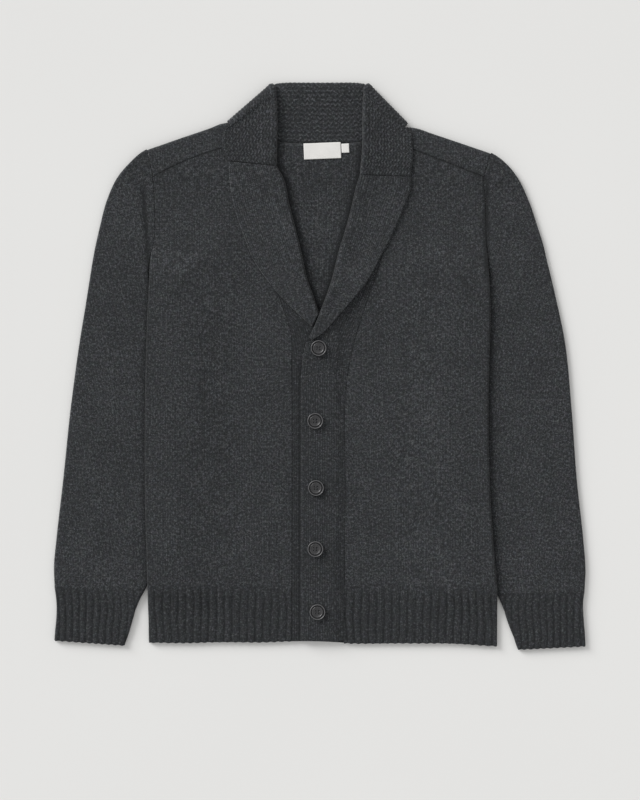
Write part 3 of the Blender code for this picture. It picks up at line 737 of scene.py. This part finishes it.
backParts = []
for side in sides:
    tip = body["shoulderFold"][side][0][1]
    v = spread(tip - body["hemTop"], 4.6, True, False) / (tip - body["hemTop"])
    low = body["hemTop"] + gapHalf
    ySide = low + (tip - low) * v
    grid = sideGrid(side, 0, ySide, ySide, np.zeros(len(v)), step=4.6)
    top = along(backTop(side), grid[..., 0])
    grid[..., 1] = low + (top - low) * v[:, None]
    even = ease(grid[..., 1], *body["backEven"])
    grid[..., 2] = grid[..., 2] * (1 - even) + level(0, neckLift(grid[..., 1])) * even
    over = grid[-1, :, 0] >= body["shoulderFold"][side][-1][0]
    wrap = mirrored(side, shoulderWrap(side, grid[-1, over]))
    grid = mirrored(side, grid)
    grid[..., 2] += creaseHeight(creases["back"], grid[..., 0], grid[..., 1]) * ramp(v, 0, 0.1)[:, None]
    grid[-1, over] = wrap[0]
    # Painted shade on the back beside the lapels' roll, inside the neck.
    rollX = straight([(row[1], row[0]) for row in lapel["rows"][side]] + [(340, 61.5)], grid[..., 1])
    inside = np.clip(rollX - np.abs(grid[..., 0]), 0, None)
    shaded = paintedShadeNear("insideNeck", inside) * ease(grid[..., 1], *lapel["shadeFrom"])
    backParts.append(patch(grid, ("seam", "join", "free", "join"), seamsAndPaintedShade=shaded))
    place = np.stack([wrap[..., 0], wrap[:1, :, 1] + lengths(wrap, 0)[:, None]], -1)
    backParts.append(patch(wrap, ("join", "line", "free", "free"), uv=place))
knitPiece("back-panel", backParts, plainKnit)

backHems = []
for side in sides:
    grid = hemGrid(side, 0, 4.0, 1.6)[0]
    x, y = placeOf(grid)
    relief = ribRise(x, y, ribs["hem"], ribs["rise"] * 0.7)
    backHems.append(patch(grid, ("free", "seam", "free", "join"), 0.0, relief,
                          uv=ribPlace(x, y, ribs["hem"])))
knitPiece("back-hem-rib", backHems, ribKnit, facingUp)


print("making the sleeves")
# Sleeve and cuff rows, shoulder to cuff: y and distance at the outer fold, then at the inner edge.
sleeve = {
    "rows": {
        "right": ((296.9, 239.4, 296.9, 236.9), (294.4, 244, 294, 236.6), (278, 263, 278, 233.5),
                  (260, 278.5, 260, 230), (229, 293.4, 229, 228), (190, 303.8, 190, 227),
                  (165, 309.5, 165, 229.5), (150, 312.4, 150, 232.6), (118, 317.6, 118, 235),
                  (85, 322.8, 85, 218), (40, 330.2, 40, 204), (-60, 343.8, -60, 204),
                  (-160, 354.3, -160, 208), (-240, 363.4, -240, 214), (-275, 366.6, -275, 225),
                  (-304.28, 365.8, -306.28, 240.2)),
        "left": ((292, 236.6, 292, 234.1), (289, 242.2, 288.5, 233.5), (276, 258.3, 276, 230.5),
                 (260, 271.5, 260, 226), (229, 287, 229, 228), (190, 300.4, 190, 228.9),
                 (165, 308.2, 165, 229.4), (150, 311.6, 150, 230.3), (118, 319.4, 118, 233),
                 (85, 327, 85, 214), (40, 336.4, 40, 200), (-60, 346.8, -60, 200),
                 (-160, 354.2, -160, 205), (-240, 362.9, -240, 212), (-280, 365.9, -280, 225),
                 (-310.58, 364.5, -312.58, 243.1))},
    "cuffRows": {
        "right": ((-304.3, 365.8, -306.3, 240.2), (-323.5, 363.4, -324.5, 250.2),
                  (-346, 363, -348, 258.2), (-367, 364.9, -370, 264.6), (-378.6, 365.7, -385.2, 269.5)),
        "left": ((-310.6, 364.5, -312.6, 243.1), (-323, 362.8, -324, 249), (-350, 363.1, -352, 259),
                 (-372, 364.9, -375, 267.5), (-386.4, 365.7, -390.9, 273.6))},
    "foldAngles": 9, "creaseTop": (140.0, 160.0), "creaseClear": (3.0, 16.0), "tuckShadeEnd": (150.0, 120.0)}


def tube(table, stepDown, stepAcross):
    """A flattened tube: front from the inner edge to the fold, half turn, and back again.

    Each row is a straight line across; the fold is a half circle; and below the underarm the inner
    edges of the two layers turn towards each other. Also gives each point's distance from the fold.
    """
    table = np.array(table, float)
    run = runOf(table)
    yOut, out, yIn, inner = hermite(run, table, spread(run[-1], stepDown)).T[..., None]
    inner = inner + gapHalf
    turnReach = np.clip((out - inner) / 2 - halfWall, 0.3, foldRadius)
    axis = out - halfWall - turnReach
    width = float(np.mean(axis - inner))
    w = (spread(width, stepAcross, True, False) / width)[None]
    angle = np.linspace(0, np.pi, sleeve["foldAngles"])[None, 1:-1]
    flat = inner + (axis - inner) * w
    drop = edgeDrop(flat - inner) * belowUnderarm(yIn)
    y = yIn + (yOut - yIn) * w
    front = np.stack([flat, y, level(1, neckLift(y)) - drop], -1)
    back = np.stack([flat, y, level(0, neckLift(y)) + drop], -1)
    fold = np.stack([axis + turnReach * np.sin(angle), yOut + 0 * angle,
                     level(0.5, neckLift(yOut)) + foldRadius * np.cos(angle)], -1)
    away = np.concatenate([out - flat, foldRadius + 0 * fold[..., 0], (out - flat)[:, ::-1]], 1)
    return np.concatenate([front, fold, back[:, ::-1]], 1), away


for side in sides:
    grid, away = tube(sleeve["rows"][side], 4.2, 4.2)
    grid = mirrored(side, grid)
    x, y = placeOf(grid)
    upper = grid[..., 2] > level(0.5, neckLift(y))
    beside = np.abs(x) - along(body["sideEdge"][side], y)
    clearOf = np.maximum(ease(beside, -4, 8), ease(y, *sleeve["creaseTop"]))
    clearOf = clearOf * ramp(away, *sleeve["creaseClear"])
    grid[..., 2] += creaseHeight(creases["sleeve"], x, y) * upper * clearOf
    # Painted shadow of the body's edge on the sleeve tucked beneath it, and painted shade along the valleys
    # beside the armhole.
    dark, reach = paintedShades["tuckedSleeve"]
    under = dark * ease(beside, reach, 0) * ease(y, *sleeve["tuckShadeEnd"])
    shade = np.maximum(under, valleyShade(valleys["sleeve"], x, y)) * upper
    part = patch(grid, ("seam", "join", "free", "free"), uv=np.stack([away, y], -1), seamsAndPaintedShade=shade)
    knitPiece(f"sleeve-{side}", [part], plainKnit)

    grid, away = tube(sleeve["cuffRows"][side], 4.0, 1.25)
    grid = mirrored(side, grid)
    y = grid[..., 1]
    relief = grownRibs(away, y, ribs["cuff"], grid[:1, :, 1])
    grid[..., 1] -= scallop(away, y, ribs["cuff"]) * ramp(np.arange(len(grid)), 5, 0)[::-1, None]
    part = patch(grid, ("join", "free", "free", "free"), relief, uv=ribPlace(away, y, ribs["cuff"]))
    knitPiece(f"cuff-{side}", [part], ribKnit)

print("making the bands, lapels and collar")
# Free edge of each band, and above the buttons where it passes beneath the rolled lapel: y, distance.
band = {
    "edge": {
        "right": ((-378.4, -17), (20, -17), (50, -11), (66, 4.5), (72, 9.5), (97, 15.5), (119, 23.5),
                  (155.5, 31.5), (188, 39.6), (224, 48.7), (256.7, 56), (277, 66)),
        "left": ((-378.2, -26.5), (-16, -26.4), (14, -23.4), (34, -19), (36, -7), (51, -2.4),
                 (73.6, 6.6), (97, 16), (119, 23.6), (159.5, 33), (186, 40.8), (216, 48.9),
                 (250, 57), (264, 61.2))},
    "top": {"right": 276.8, "left": 261.8}, "topDrop": {"right": 2.0, "left": 0.0},
    "foot": -378.3, "edgeOver": 27.6, "edgeShadowEnd": (20.0, -10.0),
    "over": (36.5, 16.0), "overEnd": (128.0, 84.0)}


def bandLift(side, x, y):
    """The top band lies a layer higher where it covers the band below."""
    if side == "right":
        return neckLift(y)
    return ease(x, *band["over"]) * ease(y, *band["overEnd"]) + neckLift(y)


for side in sides:
    y = band["foot"] + spread(band["top"][side] - band["foot"], 4.2)
    seam, edge = along(body["frontSeam"][side], y) - gapHalf, straight(band["edge"][side], y)
    w = spread(float(np.mean(seam - edge)), 0.8)
    w = w / w[-1]
    x = seam[:, None] + (edge - seam)[:, None] * w
    down = y[:, None] - band["topDrop"][side] * ramp(y, 255, band["top"][side])[:, None] * w
    place = np.stack([x - edge[:, None], down], -1)
    relief = ribRise(place[..., 0], down, ribs["band"], ribs["fineRise"])
    grid = mirrored(side, np.stack([x, down, level(1, bandLift(side, x, down))], -1))
    # The band beneath gets the darker copy of the fine rib and a painted shadow along the top band's edge.
    finish, below, seamsAndPaintedShade = bandKnit, "band_right", 0.0
    if side == "right":     # the top band's edge lies on this one
        finish, below = shadedBandKnit, "back_panel"
        seamsAndPaintedShade = paintedShadeNear("bandEdge", x - band["edgeOver"]) * ease(down, *band["edgeShadowEnd"])
    part = patch(grid, ("free", "seam", "seam", "free"), relief, uv=place, seamsAndPaintedShade=seamsAndPaintedShade)
    knitPiece(f"band-{side}", [part], finish, facingUp)

for side in sides:
    table = np.array(lapel["rows"][side], float)
    run = runOf(table)
    down = spread(run[-1], lapel["step"])
    rollX, rollY, outX, outY = hermite(run, table, down).T[..., None]
    start, end = lapel["raise"][side]
    high = ease(rollY, end, start) if end > start else np.zeros_like(rollY)
    under = level(1, bandLift(side, rollX + foldReach, rollY))
    top = level(2, high + neckLift(rollY))
    length = np.hypot(outX - rollX, outY - rollY)
    bump = lapel["rollRise"] * ramp(length, *lapel["rollGrow"])
    bend = (top - under) / 2
    axis = bend + halfWall
    angle = np.linspace(0, np.pi, 11)[None]
    wide = float(length.mean())
    t = (spread(wide, lapel["step"], False, True) / wide)[None, 1:]
    run = np.concatenate([axis + lapel["turnEnd"], axis - bend * np.sin(angle),
                          axis + (length - axis) * t], 1)
    z = np.concatenate([under, under + (bend + bump) * (1 - np.cos(angle)),
                        top + 2 * bump * (1 - ease(t, 0, lapel["rollFade"]))], 1)
    x, y = rollX + (outX - rollX) / length * run, rollY + (outY - rollY) / length * run
    grid = mirrored(side, np.stack([x, y, z], -1))
    uv = np.stack([lengths(grid, 1)[None] + 0 * x, down[:, None] + 0 * x], -1)
    # Painted shade in the lapel's fold, darkest on the under side of the turn.
    seamsAndPaintedShade = np.concatenate([[[1.0]], np.cos(angle / 2), 0 * t], 1)
    part = patch(grid, ("free", "seam", "seam", "free"), uv=uv, seamsAndPaintedShade=seamsAndPaintedShade)
    knitPiece(f"lapel-{side}", [part], paleKnit)

# Collar sections: neck seam, roll and outer edge, from the lapel seam to the fold at the shoulder.
collar = {
    "front": {
        "right": (((111.7, 277.4), (62.6, 275.4), (126.2, 281.9)), ((113.1, 290), (61.8, 305), (132, 293)),
                  ((114.5, 304), (61.4, 340), (134.2, 305)), ((112.6, 325), (62.4, 368), (132, 322))),
        "left": (((107.1, 262.4), (57.6, 262.6), (124.8, 260.6)), ((111.6, 283), (60.6, 296), (127.6, 287)),
                 ((113.1, 303), (61, 340), (126.2, 306)), ((111.4, 323), (61.8, 368), (124.6, 321)))},
    "back": {
        "right": (((100, 330.1), (62.4, 385.6), (112, 321)), ((82, 318.5), (57, 386.6), (92, 311)),
                  ((58, 310.1), (45, 387.4), (66, 303)), ((30, 307.1), (25, 387.4), (35, 299))),
        "left": (((100, 326.1), (62.2, 385.6), (109, 320)), ((82, 317), (57, 386.6), (92, 311)),
                 ((58, 309.7), (45, 387.4), (66, 303)), ((30, 307.1), (25, 387.4), (35, 299)))},
    "centre": ((0, 306.4), (0, 390.3 - foldReach), (0, 298)),
    "corner": {"right": ((66.2, 390.3), (128.5, 336.3)), "left": ((66.2, 390.3), (121.4, 334))},
    "stand": {"right": 65.5, "left": 70.0}, "step": 1.5,
    "frontFrom": (95.0, 130.0), "rollIn": 5.0}


def hairpin(neck, roll, outer, turn, push=(0.0, 0.0)):
    """A collar section: stand from neck to roll, a half turn, and the fall to the outer edge.

    turn is the way the section faces, from -1 below the back through 0 at the shoulder's fold to 1
    on the front, and the section is offset that way; push is where the fold faces on the floor.
    """
    neck, roll, outer, push = (np.array(v, float) for v in (neck, roll, outer, push))
    facing = np.append(push * math.cos(turn * math.pi / 2), math.sin(turn * math.pi / 2))
    rise = lapel["rollRise"] * max(0.0, turn) * ramp(roll[1], 380, 350)
    way = (roll - neck) / np.linalg.norm(roll - neck) + (roll - outer) / np.linalg.norm(roll - outer)
    way = way / np.linalg.norm(way)
    t = np.array((0, 0.5, 1))[:, None]
    angle = np.radians(np.arange(30, 151, 30))[:, None]
    fall = np.array((0, 0.12, 0.25, 0.4, 0.7, 1))[:, None]
    flat = np.concatenate([neck + (roll - neck) * t, roll + foldRadius * np.sin(angle) * way,
                           roll + (outer - roll) * fall])
    offset = np.concatenate([foldRadius + 0 * t, foldRadius + (foldRadius + rise) * (1 - np.cos(angle)),
                             foldRadius + pitch + rise * 2 * (1 - ease(fall, 0, lapel["rollFade"]))])
    middle = np.array((0, 0, level(0.5, 1)))
    return np.concatenate([flat, np.zeros((len(flat), 1))], 1) + middle + offset * facing


def collarSide(side):
    """Sections of one half: up the front, round the corner over the shoulder, and along the back."""
    sections = []
    for row in collar["front"][side]:
        section = hairpin(*row, 1)
        section[:, 2] += pitch * (neckLift(section[:, 1]) - 1)
        sections.append(section)
    top, low = (np.array(point) for point in collar["corner"][side])
    way = (low - top) / np.linalg.norm(low - top)
    push = np.array((-way[1], way[0]))
    reach = foldRadius + pitch + halfWall
    first, last = top - reach * push, low - reach * push
    neck = first + collar["stand"][side] * way
    for turn in np.linspace(1, -1, 9):
        sections.append(hairpin(neck, first + foldReach * way, last, turn, push))
    sections += [hairpin(*row, -1) for row in collar["back"][side]]
    return mirrored(side, np.array(sections))


coarse = np.concatenate([collarSide("right"), [hairpin(*collar["centre"], -1)],
                         collarSide("left")[::-1]])
grid = refine(coarse, collar["step"])
u, v = lengths(grid, 0)[:, None] + 0 * grid[..., 0], lengths(grid, 1)[None] + 0 * grid[..., 0]
onFront = ease(np.abs(u - u[-1] / 2), *collar["frontFrom"])     # the roll lies on top there
rollAt = lengths(coarse, 1)[4]
# Painted shade along the roll on the front, on the stand's side of it.
seamsAndPaintedShade = paintedShadeNear("collarRoll", v - rollAt + collar["rollIn"]) * onFront * (v < rollAt + 2)
part = patch(grid, ("seam", "seam", "seam", "free"), zigRise(u, v), zigRise(u, v),
             uv=np.stack([u, v], -1), seamsAndPaintedShade=seamsAndPaintedShade)
knitPiece("shawl-collar", [part], zigKnit, None, "collar")

print("making the labels and buttons")
labels = {
    "neck-label": {"width": 51.0, "height": 22.0, "thick": 0.8, "turn": 2.3, "centre": (3.2, 296.0)},
    "size-tab": {"width": 10.5, "height": 12.5, "thick": 0.8, "turn": 2.3, "centre": (34.8, 299.6)}}
for name, size in labels.items():
    u = np.linspace(-0.5, 0.5, 2 * int(size["width"]) + 1)[None] * size["width"]
    v = np.linspace(-0.5, 0.5, 2 * int(size["height"]) + 1)[:, None] * size["height"]
    turn = math.radians(size["turn"])
    x = size["centre"][0] + u * math.cos(turn) - v * math.sin(turn)
    y = size["centre"][1] + u * math.sin(turn) + v * math.cos(turn)
    ripple = 0.18 * np.sin(u / 6.3 + 0.6) * np.cos(v / 7.0) + 0.12 * np.sin(u / 2.9 + v / 4.0)
    z = level(0, neckLift(y)) + halfWall + size["thick"] / 2 + 0.5 + ripple
    edge = np.minimum(size["width"] / 2 - np.abs(u), size["height"] / 2 - np.abs(v))
    half = size["thick"] / 2 * (0.45 + 0.55 * np.sqrt(np.clip(edge / 0.8, 0, 1)))
    part = {"points": np.stack([x, y, z], -1), "top": half, "bottom": half,
            "uv": np.stack([u + 0 * v, v + 0 * u], -1), "seamsAndPaintedShade": 0 * half}
    knitPiece(name, [part], labelTape, facingUp)

# The profile is in shares of the radius and the height, from the middle of the top round to the
# middle of the underside; its painted shade, by the number of the profile's point, is darkest near 1, and
# near 0 gives a painted highlight on the rims.
button = {
    "radius": 11.0, "height": 4.2, "hole": 1.1, "holeDeep": 1.5, "spread": 1.75, "face": 0.56,
    "thread": 0.62, "threadLow": 0.55, "threadArch": 0.95, "holeEnd": 4.2, "holeLip": 0.5, "count": 5,
    "profile": ((0.02, 0.56), (0.10, 0.56), (0.18, 0.56), (0.26, 0.56), (0.34, 0.57), (0.42, 0.58),
                (0.50, 0.60), (0.56, 0.66), (0.60, 0.80), (0.64, 0.84), (0.68, 0.78), (0.71, 0.60),
                (0.75, 0.52), (0.79, 0.54), (0.83, 0.72), (0.87, 0.94), (0.91, 1.00), (0.95, 0.96),
                (0.99, 0.80), (1.00, 0.40), (0.97, 0.20), (0.90, 0.04), (0.5, 0.0), (0.02, 0.0)),
    "paintedShadeAndHighlight": ((0, 0.55), (6, 0.55), (8, 0.1), (10, 0.1), (11, 0.8), (12, 1), (14, 0.5), (15, 0), (17, 0),
             (18, 0.3))}


def wrapped(rows, around):
    """Point numbers of rows that close on themselves, their right neighbours, and the quads between."""
    index = np.arange(rows * around).reshape(rows, around)
    right = np.roll(index, -1, 1)
    return index, right, np.stack([index[:-1], right[:-1], right[1:], index[1:]], -1).reshape(-1, 4)


def buttonMesh(x, y, seat):
    """A turned button: its profile carried round a full turn, closed at both poles, with four pits.

    Also gives each point's painted shade, whose lowest values paint the rims' highlight.
    """
    profile = np.array(button["profile"])
    turns = np.linspace(0, 2 * np.pi, 97)[:-1]
    fine = np.linspace(0, len(profile) - 1, 3 * len(profile))
    out, up = (np.interp(fine, range(len(profile)), column)[:, None] for column in profile.T)
    px = x + button["radius"] * out * np.cos(turns)
    py = y + button["radius"] * out * np.sin(turns)
    pz = seat + button["height"] * up + 0 * turns
    topSide = (fine < 14)[:, None]
    for sx, sy in ((1, 1), (1, -1), (-1, 1), (-1, -1)):
        away = np.hypot(px - x - sx * button["spread"], py - y - sy * button["spread"])
        inHole = 1 - ease(away, button["hole"] * 0.62, button["hole"] * 1.15)
        pz -= button["holeDeep"] * topSide * inHole
    points = np.stack([px, py, pz], -1).reshape(-1, 3)
    points = np.concatenate([points, [[x, y, pz[0].mean()], [x, y, pz[-1].mean()]]])
    m, n = px.shape
    index, right, quads = wrapped(m, n)
    caps = np.concatenate([np.stack([index[0], right[0], np.full(n, m * n)], -1),
                           np.stack([right[-1], index[-1], np.full(n, m * n + 1)], -1)])
    paintedShadeAndHighlight = straight(button["paintedShadeAndHighlight"], fine)
    paintedShadeAndHighlight = np.append((paintedShadeAndHighlight[:, None] + 0 * turns).ravel(), (0.5, 0.5))
    return points, quads[:, (0, 3, 2, 1)].tolist() + caps.tolist(), paintedShadeAndHighlight


def stitchBar(start, end, radius, rise, steps=14, around=10):
    """A short tube from start to end that arches by rise and dives at both ends.

    The arch is the square root of a sine.
    """
    t = np.linspace(0, 1, steps)[:, None]
    path = np.array(start) + (np.array(end) - np.array(start)) * t
    path = path + np.array((0, 0, 1.0)) * (rise * np.sin(np.pi * t) ** 0.5)
    tangent = np.gradient(path, axis=0)
    tangent /= np.linalg.norm(tangent, axis=1, keepdims=True)
    side = np.cross(tangent, (0, 0, 1.0))
    side /= np.linalg.norm(side, axis=1, keepdims=True) + 1e-9
    up = np.cross(side, tangent)
    angle = np.linspace(0, 2 * np.pi, around + 1)[:-1]
    ring = side[:, None] * np.cos(angle)[None, :, None] + up[:, None] * np.sin(angle)[None, :, None]
    points = (path[:, None] + radius * ring).reshape(-1, 3)
    index, _, quads = wrapped(steps, around)
    return points, quads.tolist() + [index[0][::-1].tolist(), index[-1].tolist()]


def joinedMesh(name, parts):
    """One mesh from several (points, faces)."""
    points, faces, start = [], [], 0
    for some, made in parts:
        points.append(some)
        faces += [[corner + start for corner in face] for face in made]
        start += len(some)
    mesh = bpy.data.meshes.new(name)
    mesh.from_pydata((np.concatenate(points) * mm).tolist(), [], faces)
    mesh.validate()
    mesh.shade_smooth()
    return linked(name, mesh)


for number in range(1, button["count"] + 1):
    low, high = (np.array(corner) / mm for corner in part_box(f"button_{number}"))
    x, y, seat = (low[0] + high[0]) / 2, (low[1] + high[1]) / 2, low[2]
    points, faces, paintedShadeAndHighlight = buttonMesh(x, y, seat)
    piece = joinedMesh(f"button-{number}", [(points, faces)])
    setSeamsAndPaintedShade(piece.data, paintedShadeAndHighlight)
    dress(piece, buttonShell, f"button_{number}")
    bars = []
    across, z = button["spread"], seat + button["face"] * button["height"] - button["threadLow"]
    for side in (-1, 1):
        for shift in (-0.5, 0.5):
            barY = y + side * across + shift * button["thread"]
            bars.append(stitchBar((x - across, barY, z), (x + across, barY, z), button["thread"] / 2,
                                  button["threadArch"]))
    for side in (-1, 1):        # the end of the buttonhole shows beside the button
        start = (x + button["radius"] - 2.5, y + 0.75 * side, seat - 0.35)
        end = (x + button["radius"] + button["holeEnd"], y + 0.55 * side, seat - 0.35)
        bars.append(stitchBar(start, end, button["holeLip"], 0.25))
    thread = joinedMesh(f"thread-{number}", bars)
    thread.data.materials.append(sewingThread)
    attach(thread, "root")

print("setting the floor, light and camera")
studio = {"sun": 2.9, "softness": 28.0, "tilt": 67.0, "turn": -40.0, "fill": 0.66,
          "cameraAt": (0.0, -0.0469, 2.453), "lens": 100.0, "floorSize": 60.0,
          "floorDark": (0.745, 0.742, 0.728), "floorLight": (0.765, 0.762, 0.748)}
bpy.ops.mesh.primitive_grid_add(x_subdivisions=2, y_subdivisions=2, size=studio["floorSize"])
floor = bpy.context.object
floor.name = "floor"
look = Finish("pale floor")
faint = look.noise(look.objectPlace(), 3.0, 1.0)
colour = look.mix(faint, studio["floorDark"], studio["floorLight"])
floor.data.materials.append(look.done(colour, 0.9 - faint * 0.02, faint, 0.0001, 0.05))

world = bpy.data.worlds.new("even fill")
bpy.context.scene.world = world
world.use_nodes = True
background = world.node_tree.nodes["Background"]
background.inputs["Color"].default_value = (1, 1, 1, 1)
background.inputs["Strength"].default_value = studio["fill"]

key = bpy.data.lights.new("key", "SUN")
key.energy, key.angle = studio["sun"], math.radians(studio["softness"])
lamp = linked("key", key)
lamp.rotation_euler = (0, math.radians(-studio["tilt"]), math.radians(studio["turn"]))

camera = bpy.data.cameras.new("camera")
camera.lens, camera.sensor_width, camera.sensor_fit = studio["lens"], 36.0, "HORIZONTAL"
eye = linked("camera", camera)
eye.location = studio["cameraAt"]
bpy.context.scene.camera = eye
bpy.context.scene.view_settings.view_transform = "Standard"
